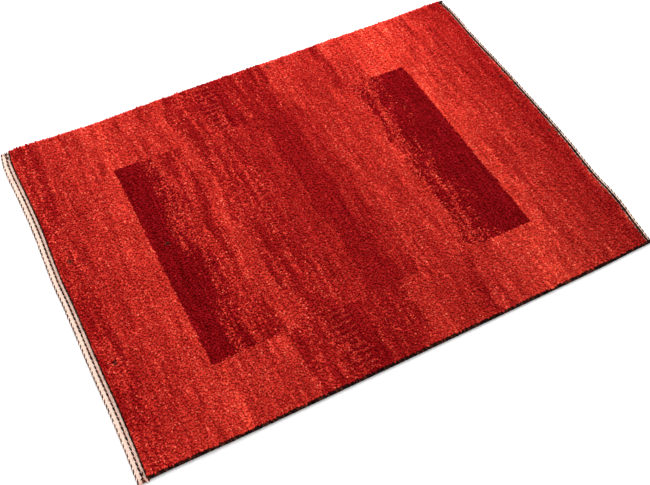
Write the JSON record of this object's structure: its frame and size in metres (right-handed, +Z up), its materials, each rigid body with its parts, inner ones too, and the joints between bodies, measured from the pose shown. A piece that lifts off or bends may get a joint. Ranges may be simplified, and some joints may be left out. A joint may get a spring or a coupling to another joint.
{
  "type": "gabbeh rug",
  "caption": "Small knotted-wool gabbeh rug lying flat, with red abrash pile, flat-woven cream end bands, dark twined rows and dark overcast selvedges.",
  "frame": {"origin": "under the middle of the rug, on the surface that it lies on", "axes": "+X along the rug towards the end with the narrower kilim band, +Y across it towards the far side in the picture, +Z up out of the pile"},
  "size_m": [1.202, 0.8656, 0.0137],
  "materials": {
    "pile_wool": "deep matt knotted wool pile in orange-red, madder and wine abrash bands",
    "kilim_wool": "matt undyed wool in a close weft-faced flat weave",
    "binding_wool": "matt dark brown overcast wool",
    "twining_wool": "matt dark brown twined wool",
    "stitching_wool": "matt dark brown whip-stitched wool"
  },
  "bodies": {
    "root": {"woven_cloth": "pile_wool", "selvedge_near": "binding_wool", "selvedge_far": "binding_wool", "twined_row_outer_left": "twining_wool", "twined_row_inner_left": "twining_wool", "edge_stitch_left": "stitching_wool", "twined_row_outer_right": "twining_wool", "twined_row_inner_right": "twining_wool", "edge_stitch_right": "stitching_wool"}
  },
  "joints": []
}
